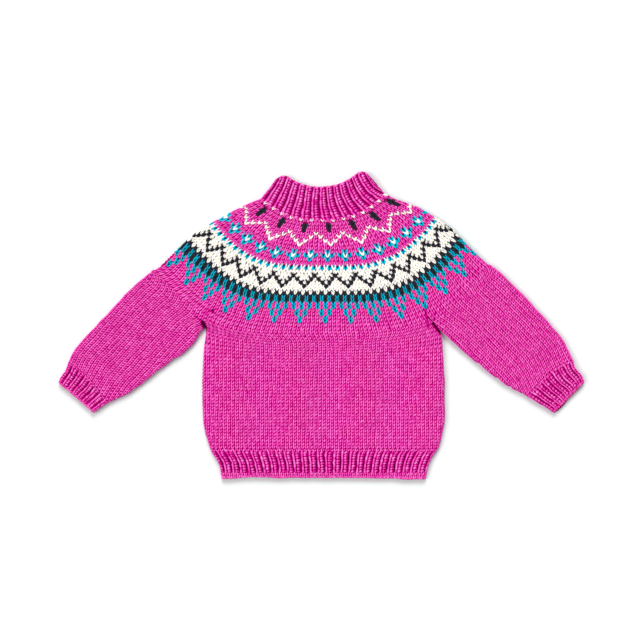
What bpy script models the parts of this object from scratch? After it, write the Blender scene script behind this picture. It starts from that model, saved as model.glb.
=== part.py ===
"""Nordic yoke sweater for a small child, laid flat with its arms spread.

The sweater is knitted in the round, so every piece is a tube of thick wool cloth.
Laid flat, a tube's front panel lies on its back panel, with a thin slit between them.
Hem, cuffs and neckband are ribbed; the ribs stand up from the front panel.
X runs across the chest, Y from the hem to the neck and Z up from the flat underside.
"""

import math
from collections import namedtuple

import bmesh
import bpy

MM = 0.001

# Cloth, in millimetres.
WALL = 2.8            # thickness of the knitted cloth
SLIT = 0.6            # room between the front and back panels
FOLD_LIFT = 0.8       # how much a folded edge stands above the flat panels
FOLD_FADE = 24.0      # distance in which that lift dies away
ROW_SEAM = 0.45       # gap at the yoke's seams, measured down its middle line
THICK = 2 * WALL + SLIT
FOLD_RADIUS = (THICK + FOLD_LIFT) / 2
MARK_CLEARANCE = 0.8  # least distance between a folded edge's last point and the next one
RIB_HEIGHT = 1.3      # crest above valley
RIB_SINK = 0.3        # valley below the plain cloth
RIB_SHOULDERS = (0.24, 0.76)  # where a rib is full height, as shares of its width

# Number of ribs across the front of each band. The neckband's ribs lean over at the right
# end, where they start past the fold: first is the rib at the left fold.
HEM_RIBS = 28
CUFF_RIBS_LEFT = 8
CUFF_RIBS_RIGHT = 9
NECK_RIBS_BASE = 13.54
NECK_RIBS_TOP = 15.62
NECK_FIRST_BASE = 0.40
NECK_FIRST_TOP = 0.19
NECK_CROWDED = 0.1    # share of the neckband's width in which the last ribs crowd together

# The yoke's rows are arcs that lie level at the middle and turn up towards the shoulders.
# reach is the row's length from the middle line to the shoulder fold.
YOKE_MIDDLE_X = -1.5
NECK_SEAM_Y = 125.5
TURN_LEFT = math.radians(47)
TURN_RIGHT = math.radians(50)
YokeRow = namedtuple("YokeRow", "down reach_left reach_right corner crispness")
YOKE_ROWS = (
    YokeRow(0.0, 78.5, 88.0, 0.90, 2.0),
    YokeRow(22.0, 109.5, 121.5, 0.78, 2.3),
    YokeRow(40.0, 132.0, 144.5, 0.72, 2.7),
    YokeRow(57.0, 153.5, 163.5, 0.62, 3.2),
    YokeRow(85.0, 180.0, 187.0, 0.56, 4.0),
    YokeRow(123.0, 211.5, 219.0, 0.58, 4.2),
    YokeRow(134.0, 223.0, 229.0, 0.58, 4.2),
)
YOKE_DEPTH = 132.5
YOKE_STEPS = 9
ARC_STEPS = 48        # short straight steps that add up to a row's arc
# Underarms: distance along the joining row from the middle line.
UNDERARM_LEFT = 134.5
UNDERARM_RIGHT = 132.5

# Outline of the body below the underarms. side is the height of a row at its two ends
# and middle its height at the middle line; the rows grow straight towards the hem.
BodyRow = namedtuple("BodyRow", "side middle left right curve")
BODY_ROWS = (
    BodyRow(2.5, -15.0, -137.0, 131.5, 0.80),
    BodyRow(-10.0, -22.0, -138.8, 142.3, 0.45),
    BodyRow(-30.0, -34.0, -141.2, 146.0, 0.15),
    BodyRow(-55.0, -55.0, -142.8, 147.8, 0.0),
    BodyRow(-85.0, -85.0, -143.2, 148.2, 0.0),
    BodyRow(-115.0, -115.0, -141.6, 148.0, 0.0),
    BodyRow(-135.0, -135.0, -138.0, 144.6, 0.0),
    BodyRow(-148.5, -148.5, -133.4, 140.4, 0.0),
)
HemRow = namedtuple("HemRow", "side middle left right")
HEM_ROWS = (
    HemRow(-148.8, -148.8, -133.2, 140.2),
    HemRow(-156.0, -156.0, -129.4, 134.6),
    HemRow(-165.0, -165.0, -124.0, 130.0),
    HemRow(-179.0, -179.0, -120.6, 126.8),
    HemRow(-185.0, -184.6, -119.8, 125.8),
)

# Sleeve rows, from the yoke to the cuff. outer is the end on the shoulder fold, inner the
# end on the underarm fold, and rise how far the row's middle bows up towards the shoulder.
SleeveRow = namedtuple("SleeveRow", "outer_x outer_y inner_x inner_y curve rise")
SLEEVE_ROWS_LEFT = (
    SleeveRow(-206.0, 63.0, -141.4, 2.0, 0.8, 0.0),
    SleeveRow(-218.0, 53.0, -143.4, -8.5, 0.4, 0.0),
    SleeveRow(-229.5, 42.5, -156.8, -26.5, 0.0, 0.0),
    SleeveRow(-253.0, 18.0, -185.2, -47.5, 0.0, 0.0),
    SleeveRow(-276.0, -6.5, -211.8, -68.2, 0.0, 0.0),
    SleeveRow(-296.5, -30.0, -236.2, -85.2, 0.0, 2.0),
    SleeveRow(-303.7, -44.2, -255.6, -93.8, 0.0, 6.5),
)
SLEEVE_ROWS_RIGHT = (
    SleeveRow(203.5, 72.0, 133.6, 2.8, 0.8, 0.0),
    SleeveRow(214.0, 64.0, 143.4, -8.4, 0.4, 0.0),
    SleeveRow(225.0, 54.0, 153.5, -17.5, 0.1, 0.0),
    SleeveRow(248.4, 30.4, 176.5, -37.4, 0.0, 0.0),
    SleeveRow(270.4, 6.6, 202.3, -58.0, 0.0, 0.0),
    SleeveRow(290.0, -17.2, 227.4, -76.0, 0.0, 2.5),
    SleeveRow(302.6, -41.6, 246.8, -85.8, 0.0, 8.0),
)
CuffRow = namedtuple("CuffRow", "outer_x outer_y inner_x inner_y rise")
CUFF_ROWS_LEFT = (
    CuffRow(-303.9, -44.4, -255.8, -94.0, 6.5),
    CuffRow(-307.2, -53.4, -262.5, -97.8, 4.2),
    CuffRow(-312.8, -61.9, -268.0, -102.4, 1.8),
    CuffRow(-315.6, -68.8, -272.6, -105.8, 0.0),
)
CUFF_ROWS_RIGHT = (
    CuffRow(302.8, -41.8, 247.0, -86.0, 8.0),
    CuffRow(306.1, -52.3, 260.5, -94.3, 5.0),
    CuffRow(312.9, -59.8, 270.5, -100.4, 2.0),
    CuffRow(316.0, -68.2, 279.8, -105.8, 0.0),
)

# Neckband: a shallow collar whose top dips in the middle and rolls over at both ends.
COLLAR_TOP_LEFT = (-54.5, 175.4)
COLLAR_TOP_RIGHT = (62.0, 174.6)
COLLAR_DIP = 32.5
COLLAR_DIP_POWER = 0.76
COLLAR_PEAK_LEFT = 19.4
COLLAR_PEAK_RIGHT = 30.5
COLLAR_ROLL_LEFT = 14.7
COLLAR_ROLL_RIGHT = 18.8
COLLAR_STEPS = 4

# Even spacing of points across a panel.
BODY_ACROSS = 18
SLEEVE_ACROSS = 7
COLLAR_ACROSS = 42
UNDERSIDE_ACROSS = 16

PINK = (0.62, 0.02, 0.30, 1.0)
ROUGHNESS = 0.9


def mix(a, b, share):
    return a + (b - a) * share


def table_row(table, key, value):
    """The row of a table at a value of its key column, between the two rows next to it."""
    last = len(table) - 2
    index = max(0, min(last, sum(getattr(row, key) <= value for row in table) - 1))
    low, high = table[index], table[index + 1]
    share = (value - getattr(low, key)) / (getattr(high, key) - getattr(low, key))
    return type(low)(*(mix(a, b, share) for a, b in zip(low, high)))


class Path:
    """A line of plan points that is read by its length."""

    def __init__(self, points):
        self.points = [tuple(p) for p in points]
        self.marks = [0.0]
        for (ax, ay), (bx, by) in zip(self.points, self.points[1:]):
            self.marks.append(self.marks[-1] + math.hypot(bx - ax, by - ay))
        self.length = self.marks[-1]

    def at(self, distance):
        distance = max(0.0, min(self.length, distance))
        index = 0
        while index < len(self.marks) - 2 and self.marks[index + 1] < distance:
            index += 1
        span = self.marks[index + 1] - self.marks[index]
        share = (distance - self.marks[index]) / span
        (ax, ay), (bx, by) = self.points[index], self.points[index + 1]
        return mix(ax, bx, share), mix(ay, by, share)


def yoke_arc(down, side, distance):
    """Plan point on a yoke row, at a distance from the middle line. side is -1 or 1."""
    row = table_row(YOKE_ROWS, "down", down)
    reach = row.reach_left if side < 0 else row.reach_right
    turn = TURN_LEFT if side < 0 else TURN_RIGHT
    pull = row.corner ** row.crispness
    step = distance / ARC_STEPS
    x = y = 0.0
    for index in range(ARC_STEPS):
        rise = ((index + 0.5) * step / reach) ** row.crispness
        angle = turn * rise / (rise + pull) * (1 + pull)
        x += math.cos(angle) * step
        y += math.sin(angle) * step
    return YOKE_MIDDLE_X + side * x, NECK_SEAM_Y - down + y


def yoke_point(down, place):
    """place is a share of the reach: -1 at the left fold, 0 in the middle, 1 at the right."""
    row = table_row(YOKE_ROWS, "down", down)
    side = -1 if place < 0 else 1
    reach = row.reach_left if side < 0 else row.reach_right
    return yoke_arc(down, side, abs(place) * reach)


def even(start, stop, count):
    return [mix(start, stop, index / count) for index in range(count + 1)]


def join_places():
    """Places of the points that yoke, body and sleeves share on the joining row."""
    row = table_row(YOKE_ROWS, "down", YOKE_DEPTH)
    left = -UNDERARM_LEFT / row.reach_left
    right = UNDERARM_RIGHT / row.reach_right
    return (
        even(-1.0, left, SLEEVE_ACROSS),
        even(left, right, BODY_ACROSS),
        even(right, 1.0, SLEEVE_ACROSS),
    )


def edged(paths, marks_of):
    """Marks across each path: a mark is a distance and the cloth's relief there.

    marks_of(path, level) gives the inner ones, as many on each path, where level runs from
    0 on the first path to 1 on the last. Two more points round off each folded edge, and
    marks too near an edge are left out.
    """
    lead = [0.0, FOLD_RADIUS * (1 - math.sqrt(0.5)), FOLD_RADIUS]
    room = FOLD_RADIUS + MARK_CLEARANCE
    levels = even(0.0, 1.0, len(paths) - 1)
    inner = [marks_of(path, level) for path, level in zip(paths, levels)]
    kept = [
        index for index in range(len(inner[0]))
        if all(room < marks[index][0] < path.length - room for path, marks in zip(paths, inner))
    ]
    rows = []
    for path, marks in zip(paths, inner):
        start = [(d, 0.0) for d in lead]
        stop = [(path.length - d, 0.0) for d in reversed(lead)]
        rows.append(start + [marks[index] for index in kept] + stop)
    return rows


def own_marks(path, _level):
    return [(d, 0.0) for d in path.marks[1:-1]]


def even_marks(path, _level):
    return [(d, 0.0) for d in even(0.0, path.length, UNDERSIDE_ACROSS)[1:-1]]


def fold_swell(edge):
    """How much thicker the flattened tube is near a fold, at a distance from that edge."""
    return FOLD_LIFT * max(0.0, 1 - max(0.0, edge - FOLD_RADIUS) / FOLD_FADE) ** 2


def rib_marks(ribs, place):
    """Marks in the valley and on the two shoulders of each rib.

    place(count, level) is where a number of ribs ends, as a share of the path.
    """
    crest = RIB_HEIGHT - RIB_SINK
    profile = [(0.0, -RIB_SINK)] + [(shoulder, crest) for shoulder in RIB_SHOULDERS]
    return lambda path, level: [
        (place(rib + part, level) * path.length, relief)
        for rib in ribs for part, relief in profile
    ]


def even_place(ribs):
    return lambda count, _level: count / ribs


def neck_place(count, level):
    """Leaning ribs: those that would pass the right fold crowd together before it."""
    first = mix(NECK_FIRST_BASE, NECK_FIRST_TOP, level)
    share = (count - first) / mix(NECK_RIBS_BASE, NECK_RIBS_TOP, level)
    past = max(0.0, share - 1 + NECK_CROWDED)
    return min(share, 1 - NECK_CROWDED * math.exp(-past / NECK_CROWDED))


def panel_ring(path, tops, bottoms):
    """Outer and inner loops of points round a flattened tube whose width follows path."""
    length = path.length
    outer, inner = [], []
    loop = [(*mark, 1) for mark in tops] + [(*mark, -1) for mark in reversed(bottoms[1:-1])]
    for distance, relief, face in loop:
        edge = min(distance, length - distance)
        curl = math.sqrt(1 - max(0.0, 1 - edge / FOLD_RADIUS) ** 2)
        height = THICK + fold_swell(edge)
        z = mix(height / 2, height + relief if face > 0 else 0.0, curl)
        outer.append((*path.at(distance), z))
        tucked = mix(WALL, length - WALL, distance / length)
        inner.append((*path.at(tucked), height / 2 + face * SLIT / 2 * curl))
    return outer, inner


def closed_tube(name, rings):
    """A wall between an outer and an inner loft, joined at both open ends."""
    mesh = bpy.data.meshes.new(name)
    body = bmesh.new()
    skins = []
    for skin in range(2):
        skins.append([
            [body.verts.new([c * MM for c in point]) for point in ring[skin]]
            for ring in rings
        ])
    outer, inner = skins
    count = len(outer[0])
    for here in range(len(rings) - 1):
        there = here + 1
        for a in range(count):
            b = (a + 1) % count
            body.faces.new((outer[here][a], outer[here][b], outer[there][b], outer[there][a]))
            body.faces.new((inner[here][b], inner[here][a], inner[there][a], inner[there][b]))
    for end, flip in ((0, 1), (-1, 0)):
        for a in range(count):
            b = (a + 1) % count
            rim = [outer[end][a], outer[end][b], inner[end][b], inner[end][a]]
            body.faces.new(rim[::-1] if flip else rim)
    bmesh.ops.recalc_face_normals(body, faces=body.faces)
    if body.calc_volume(signed=True) < 0:
        bmesh.ops.reverse_faces(body, faces=body.faces)
    body.to_mesh(mesh)
    body.free()
    mesh.shade_smooth()
    mesh.set_sharp_from_angle(angle=math.radians(40))
    return bpy.data.objects.new(name, mesh)


def wool(name, colour):
    material = bpy.data.materials.new(name)
    material.use_nodes = True
    shader = material.node_tree.nodes["Principled BSDF"]
    shader.inputs["Base Color"].default_value = colour
    shader.inputs["Roughness"].default_value = ROUGHNESS
    shader.inputs["Metallic"].default_value = 0.0
    return material


def make_yoke():
    left, middle, right = join_places()
    places = left + middle[1:] + right[1:]
    downs = even(ROW_SEAM, YOKE_DEPTH, YOKE_STEPS)
    lines = [[yoke_point(down, place) for place in places] for down in downs]
    return closed_tube("yoke", make_rings(lines, own_marks, own_marks))


def join_path(places, gap):
    """The joining row's points between two places, a little below the yoke."""
    return [yoke_point(YOKE_DEPTH + gap, place) for place in places]


def shaped(template, start, end, curve, sag=0.0):
    """Points from start to end that keep a share of a template line's own curve."""
    count = len(template) - 1
    (ax, ay), (bx, by) = template[0], template[-1]
    points = []
    for index, (x, y) in enumerate(template):
        share = index / count
        off_x = x - mix(ax, bx, share)
        off_y = y - mix(ay, by, share)
        bow = 4 * share * (1 - share) * sag
        points.append((
            mix(start[0], end[0], share) + curve * off_x,
            mix(start[1], end[1], share) + curve * off_y + bow,
        ))
    return points


def make_rings(lines, top_marks, bottom_marks):
    paths = [Path(line) for line in lines]
    tops = edged(paths, top_marks)
    bottoms = edged(paths, bottom_marks)
    return [panel_ring(*ring) for ring in zip(paths, tops, bottoms)]


def make_body():
    template = join_path(join_places()[1], ROW_SEAM)
    top = shaped(template, template[0], template[-1], 1.0)
    top[0] = mix(top[0][0], top[1][0], 0.01), mix(top[0][1], top[1][1], 0.01)
    top[-1] = mix(top[-1][0], top[-2][0], 0.01), mix(top[-1][1], top[-2][1], 0.01)
    lines = [top]
    for row in BODY_ROWS:
        sag = (row.middle - row.side) * (1 - row.curve)
        lines.append(shaped(template, (row.left, row.side), (row.right, row.side), row.curve, sag))
    return closed_tube("body", make_rings(lines, own_marks, own_marks))


def make_sleeve(name, rows, places):
    template = join_path(places, ROW_SEAM)
    lines = [template]
    for row in rows:
        ends = [(row.outer_x, row.outer_y), (row.inner_x, row.inner_y)]
        if row.outer_x > 0:
            ends.reverse()
        lines.append(shaped(template, *ends, row.curve, row.rise))
    return closed_tube(name, make_rings(lines, own_marks, own_marks))


def make_band(name, lines, top_marks):
    """A ribbed band, whose underside is plain."""
    return closed_tube(name, make_rings(lines, top_marks, even_marks))


def even_ribs(ribs):
    """Ribs that follow equal shares of each row's width."""
    return rib_marks(range(ribs), even_place(ribs))


def make_hem():
    lines = []
    for row in HEM_ROWS:
        level = [(x, 0.0) for x in even(row.left, row.right, UNDERSIDE_ACROSS)]
        lines.append(shaped(level, (row.left, row.side), (row.right, row.side), 0.0,
                            row.middle - row.side))
    return make_band("hem_rib", lines, even_ribs(HEM_RIBS))


def make_cuff(name, rows, ribs):
    level = [(share, 0.0) for share in even(0.0, 1.0, SLEEVE_ACROSS)]
    lines = []
    for row in rows:
        ends = [(row.outer_x, row.outer_y), (row.inner_x, row.inner_y)]
        if row.outer_x > 0:
            ends.reverse()
        lines.append(shaped(level, *ends, 0.0, row.rise))
    return make_band(name, lines, even_ribs(ribs))


def collar_top(share):
    """The neckband's top edge: two rounded peaks with a dip between them."""
    (ax, ay), (bx, by) = COLLAR_TOP_LEFT, COLLAR_TOP_RIGHT
    width = bx - ax
    edge = min(share, 1 - share) * width
    roll = COLLAR_ROLL_LEFT if share < 0.5 else COLLAR_ROLL_RIGHT
    peak = mix(COLLAR_PEAK_LEFT, COLLAR_PEAK_RIGHT, share)
    peak *= 1 - max(0.0, 1 - edge / roll) ** 2
    dip = COLLAR_DIP * (4 * share * (1 - share)) ** COLLAR_DIP_POWER
    return mix(ax, bx, share), mix(ay, by, share) + peak - dip


def make_neckband():
    shares = even(0.0, 1.0, COLLAR_ACROSS)
    row = YOKE_ROWS[0]
    total = row.reach_left + row.reach_right
    base = []
    for share in shares:
        distance = share * total - row.reach_left
        side = -1 if distance < 0 else 1
        base.append(yoke_arc(0.0, side, abs(distance)))
    top = [collar_top(share) for share in shares]
    lines = []
    for height in even(0.0, 1.0, COLLAR_STEPS):
        lines.append([(mix(p[0], q[0], height), mix(p[1], q[1], height)) for p, q in zip(base, top)])
    ribs = range(1, math.ceil(NECK_RIBS_TOP))
    return make_band("neckband", lines, rib_marks(ribs, neck_place))


def clear_scene():
    for thing in list(bpy.data.objects):
        bpy.data.objects.remove(thing, do_unlink=True)


def main():
    clear_scene()
    collection = bpy.data.collections.new("nordic_yoke_sweater")
    bpy.context.scene.collection.children.link(collection)
    left, _middle, right = join_places()
    pieces = (
        make_yoke(),
        make_body(),
        make_sleeve("sleeve_left", SLEEVE_ROWS_LEFT, left),
        make_sleeve("sleeve_right", SLEEVE_ROWS_RIGHT, right),
        make_neckband(),
        make_hem(),
        make_cuff("cuff_left", CUFF_ROWS_LEFT, CUFF_RIBS_LEFT),
        make_cuff("cuff_right", CUFF_ROWS_RIGHT, CUFF_RIBS_RIGHT),
    )
    for piece in pieces:
        piece.data.materials.append(wool(f"{piece.name}_wool", PINK))
        collection.objects.link(piece)


main()
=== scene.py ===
"""Looks of the nordic yoke sweater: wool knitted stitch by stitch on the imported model's form.

Every piece is a flattened tube of knitting. Its base is a thin closed shell, and its stitches
are rows of small legs laid on that shell, front and back. Sizes are in millimetres up to the
meshes, which are made in metres.
"""

import math
from collections import namedtuple

import bpy
import numpy as np
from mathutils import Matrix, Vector


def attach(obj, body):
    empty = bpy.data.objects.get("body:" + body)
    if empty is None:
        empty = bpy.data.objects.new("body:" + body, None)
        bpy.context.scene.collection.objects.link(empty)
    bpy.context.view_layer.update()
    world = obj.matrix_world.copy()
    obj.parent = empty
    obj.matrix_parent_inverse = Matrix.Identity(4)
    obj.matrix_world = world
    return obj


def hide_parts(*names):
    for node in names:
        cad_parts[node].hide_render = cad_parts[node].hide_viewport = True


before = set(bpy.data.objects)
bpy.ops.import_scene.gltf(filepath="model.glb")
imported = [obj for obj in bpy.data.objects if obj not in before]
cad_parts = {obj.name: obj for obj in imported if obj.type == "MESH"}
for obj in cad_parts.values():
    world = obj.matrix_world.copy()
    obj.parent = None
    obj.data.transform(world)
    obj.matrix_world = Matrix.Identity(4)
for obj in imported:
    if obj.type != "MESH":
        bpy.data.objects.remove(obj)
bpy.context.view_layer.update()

MM = 0.001
FRONT, BACK = 1, -1


def table(columns, rows):
    """Rows with named columns, the last of which may be left out where it is 0."""
    kind = namedtuple("Row", columns, defaults=(0.0,))
    return tuple(kind(*row) for row in rows)


def column_at(rows, name, down):
    """One column of a table at any distance down the yoke."""
    return np.interp(down, [row.down for row in rows], [getattr(row, name) for row in rows])


# Cloth.
CREST = 6.6  # height of the plain cloth's stitches above the flat underside
PILE = 1.7  # height of a stitch above its shell
WALL = 2.8  # whole thickness of the cloth, stitches included
SLIT = 0.6  # room between the front and back panels
FOLD_RADIUS = 3.5
FOLD_LIFT = 0.8  # how much thicker the tube is at its folds
FOLD_FADE = 24.0  # and how far in that reaches
QUARTER = (math.pi / 2 - 1) * FOLD_RADIUS  # how much longer the cloth is than the plan at a fold
RIB_RISE = 1.1  # rib crests above the plain cloth
RIB_VALLEY = -0.3  # rib valleys below it
RIB_FLANK = 0.05  # half width of a valley's floor, and the width of its sides, in ribs
UNEVEN = 0.3  # how far rows, columns and edges wander
UNEVEN_WAVE = 26.0
SWELL = 0.35  # how far the front rises and sinks between the folds
SWELL_WAVE = 60.0
SWELL_FADE = 12.0
PEEK_FADE = 6.0  # how far up from its end a tube shifts to show its back
PEEK_FRONT = -0.5  # the front's shift there, as a share of the back's
MERGE = 16.0  # the yoke's columns turn into the body's and sleeves' over this distance

# Yoke rows, close to the part's.
YOKE_MIDDLE_X = -1.5
NECK_SEAM_Y = 125.5
TURN_LEFT = math.radians(47)
TURN_RIGHT = math.radians(50)
ARC_STEPS = 96
YOKE_TOP = 0.45
YOKE_DEPTH = 132.5
YOKE_STEP = 6
UNDERARM_LEFT = 134.5
UNDERARM_RIGHT = 132.5
YOKE_ROWS = table("down reach_left reach_right corner crispness", (
    (0, 78.5, 88, 0.9, 2),
    (22, 109.5, 121.5, 0.78, 2.3),
    (40, 132, 144.5, 0.72, 2.7),
    (57, 153.5, 163.5, 0.62, 3.2),
    (67, 163, 172.6, 0.6, 3.5),
    (75, 170.6, 182, 0.58, 3.7),
    (85, 180, 188.6, 0.56, 4),
    (123, 213, 220, 0.58, 4.2),
    (134, 225.2, 230.8, 0.58, 4.2),
))
TORSO_ROW = "side middle left right curve"
BODY_ROWS = table(TORSO_ROW, (
    (2.5, -15, -140, 135.3, 0.8),
    (-10, -22, -138.6, 143.8, 0.45),
    (-30, -34, -141.2, 146, 0.15),
    (-55, -55, -142.8, 147.8),
    (-85, -85, -143.2, 148.2),
    (-115, -115, -141.6, 148),
    (-135, -135, -138, 144.6),
    (-148.5, -148.5, -133.4, 140.4),
))
HEM_ROWS = table(TORSO_ROW, (
    (-148.8, -148.8, -133.2, 140.2),
    (-156, -156, -129.4, 134.6),
    (-165, -165, -124, 130),
    (-179, -179, -120.6, 126.8),
    (-184.6, -183.2, -119.8, 125.8),
))
HEM_WAVES = ((-81, 1.5, 17), (103, -0.9, 16))  # x, rise and half width on the edge
ARM_ROW = "outer_x outer_y inner_x inner_y rise curve"
SLEEVE_ROWS_LEFT = table(ARM_ROW, (
    (-206, 63, -139.8, -3.2, 0, 0.8),
    (-218, 53, -143.6, -8.3, 0, 0.4),
    (-229.5, 42.5, -156.8, -26.5, 0),
    (-253, 18, -185.2, -47.5, 0),
    (-276, -6.5, -211.8, -68.2, 0),
    (-296.5, -30, -236.2, -85.2, 2),
    (-303.7, -44.2, -255.6, -93.8, 6.5),
))
SLEEVE_ROWS_RIGHT = table(ARM_ROW, (
    (203.5, 72, 133.3, 2.9, 0, 0.8),
    (214, 64, 143.1, -8.6, 0, 0.4),
    (225, 54, 153.5, -17.5, 0, 0.1),
    (248.4, 30.4, 176.5, -37.4, 0),
    (270.4, 6.6, 202.3, -58, 0),
    (290, -17.2, 227.4, -76, 2.5),
    (302.6, -41.6, 246.8, -85.8, 8),
))
CUFF_ROWS_LEFT = table(ARM_ROW, (
    (-303.9, -44.4, -255.8, -94, 6.5),
    (-307.2, -53.4, -262.5, -97.8, 4.2),
    (-312.8, -61.9, -268, -102.4, 1.8),
    (-315.6, -68.8, -272.6, -105.8, 0),
))
CUFF_ROWS_RIGHT = table(ARM_ROW, (
    (302.8, -41.8, 247, -86, 8),
    (306.1, -52.3, 260.5, -94.3, 5),
    (312.9, -59.8, 270.5, -100.4, 2),
    (316, -68.2, 279.8, -105.8, 0),
))
COLLAR_TOP_LEFT = (-54.5, 175.4)
COLLAR_TOP_RIGHT = (62, 174.6)
COLLAR_DIP = 33.3
COLLAR_DIP_POWER = 0.76
COLLAR_PEAKS = (18.9, 29.2)
COLLAR_ROLLS = (14.7, 18.8)
COLLAR_LINES, COLLAR_POINTS = 9, 97
CUT_POINTS, EVEN_POINTS = 65, 33

# Creases of the front at the underarms: the ends, half width and depth of each soft trough,
# and how much painted shade darkens its bottom.
CREASES = table("x1 y1 x2 y2 width depth dark", (
    (-142.6, 3.8, -138.8, -4.2, 1.9, 1.2, 1.4),
    (-139, 14, -133, 19, 1, 0.7, 0.35),
    (-130.2, 17.4, -129.8, 16, 1.2, 1.1, 1.3),
    (-150, 10, -141, 3, 1.6, 0.6, 0.15),
    (124.6, 21, 128.4, -2.5, 1.2, 0.8, 0.45),
    (133.6, 1.8, 143.2, -9.8, 1.3, 1.2, 1.2),
    (137, 16, 134.6, 4, 1.2, 0.6, 0.2),
))

# Stitches.
PITCH = 4.94  # width of a stitch of the body and sleeves
BODY_ROUND = 116  # stitches round the body
NECK_LENGTH = 44.0
HEM_FOLDS = (-1.76, 25.57)  # rib columns at the left and right folds
# The neckband's first column and its ribs across the front, at the yoke and at its top.
NECK_FIRST = (0.405, 0.19)
NECK_ACROSS = (13.54, 15.62)

# Yoke chart. Each line is a row, from the neck down: how many stitches a repeat has, where
# the first stitch of its yarns sits, and the yarns, which start again at their end. p pink,
# c cream, k charcoal, t teal, b bright pink.
REPEATS = 28
REPEAT_STITCHES = 6
CHART = table("down stitches start yarns", (
    (2.5, 3, 0.77, "cpp"),
    (7.1, 3, 1.27, "kppppp"),
    (10.8, 3, 1.27, "kppppp"),
    (14.4, 3, 1.27, "kppppp"),
    (17.9, 3, 1.27, "pppcpp"),
    (22.4, 3, 1.27, "ppcpcp"),
    (27.1, 3, 1.27, "pcpppc"),
    (31.7, 3, 1.27, "cppppp"),
    (36, 4, 0.06, "p"),
    (40.1, 4, 0.06, "tppp"),
    (44.9, 4, 0.06, "ctpt"),
    (49.7, 4, 0.06, "tppp"),
    (54.8, 5, 0, "p"),
    (59.9, 5, 0, "tc"),
    (63.8, 6, 0, "c"),
    (68.1, 6, -0.06, "ccckcc"),
    (72.5, 6, -0.04, "cckckc"),
    (76.8, 6, -0.02, "ckccck"),
    (81.1, 6, 0, "kccccc"),
    (85.2, 6, 0, "c"),
    (89.3, 6, 0, "ck"),
    (93.7, 6, 0, "kt"),
    (98.1, 6, 0, "kt"),
    (102.3, 6, 0, "tb"),
    (106.5, 6, 0, "tb"),
    (110.7, 6, 0, "btbpbt"),
    (114.9, 6, 0, "btppbt"),
    (119.1, 6, 0, "tppppp"),
    (123.3, 6, 0, "tppppp"),
    (128, 6, 0, "p"),
    (132.9, 6, 0, "p"),
))
ABOVE_CHART = -0.7  # where the first row begins
PATTERN_TALL = 1.3  # height of the pattern's stitches beside the ground's
DOT_TALL = (0.95, 1.1)  # of the dots and of the stitches between them
DOT_ROW = 59.9  # the row of dots, which lies lower than the other pattern rows
# Where one yarn's stitches differ from their share of the row: their width and length, and
# how far they lie above it.
FITS = table("down yarn width length above", (
    (2.5, "c", 0.86, 0.78, 0.8), (7.1, "k", 1.2, 0.62), (10.8, "k", 1.5, 1),
    (14.4, "k", 0.74, 1), (17.9, "c", 0.86, 0.88), (22.4, "c", 0.84, 0.86),
    (27.1, "c", 0.84, 0.86), (40.1, "t", 1.2, 1), (44.9, "t", 1.2, 1),
    (49.7, "t", 1.24, 1.05), (59.9, "t", 1.42, 1), (68.1, "k", 1.38, 0.85),
    (72.5, "k", 1.2, 0.85), (76.8, "k", 1.2, 0.85), (81.1, "k", 1.32, 0.85),
    (89.3, "c", 0.9, 1), (89.3, "k", 1.2, 1), (93.7, "t", 0.76, 0.75),
    (93.7, "k", 1.3, 1), (98.1, "t", 0.78, 1), (98.1, "k", 1.3, 1),
))
# The yarn between a row's stitches, for rows above each distance.
GROUNDS = ((58, "p"), (86, "c"), (100, "k"), (math.inf, "p"))
# Chart rows with charcoal cloth under the drops, and half of its width in repeats.
DROPS = ((10.8, 0.14), (14.4, 0.05))
YOKE_FIRST, YOKE_LAST = -0.14, 13.97  # repeats at the left and right folds
# How far the columns turn in round the left and right folds, and where across the front
# that begins and how soon it is whole.
TURNS = table("down left right", (
    (59.9, 0, 0), (68, 0, 2.5), (76, 0, 4.6),
    (85, 0, 3.6), (93, 0, 0.5), (98, 0.5, 0),
    (111, 3.5, 0), (123, 4, 0), (134, 0, 0),
))
TURN_BEGINS = (0.2, 0.74)
TURN_SPANS = (0.11, 0.1)
# Rise of the chart's rows towards the folds, and how the repeats widen in the middle.
RISES = table("down left right widen", (
    (0, 0, 0, 0.06), (5, -1.2, -2.5, 0.06),
    (12, -2.2, -4, 0.05), (24, 3, 1, 0.05),
    (33, 5, 3.2, 0.04), (45, 7.2, 4.5, 0.03),
    (60, 6.2, 5.4, 0.04), (68, 6.2, 6.9, 0.03),
    (81, 4.4, 5.2, 0.03), (89, 4, 0.4, 0.02),
    (98, 0, -1.8, 0), (123, 3.8, 1.3, 0),
    (134, 0, 0, 0),
))

# Shades are painted light: they run from 0, painted shade between the stitches, to 1, a painted
# highlight on their crests.
GROUND_SHADE = 0.14  # how light the shell is between stitches
# Points of a rib's valley from one rib to the next, and the painted shade of the shell there.
RIB_POINTS = (-0.12, -0.06, 0, 0.045, 0.09, 0.36, 0.46, 0.7)
RIB_SHADES = (0.14, 0.01, -0.02, 0.01, 0.14, 0.05, 0.05, 0.14)
# How much the valleys' painted shade swings along the ribs, and the length of its waves.
RIB_SHADE_MEAN, RIB_SHADE_SWING, RIB_SHADE_WAVE = 0.8, 0.3, 9.0
RIB_WIDE = 5  # about how wide a rib is
PLAIN_MOTTLE = 0.05  # how unlike each other the stitches' shades are
BAND_MOTTLE = 0.085
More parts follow.
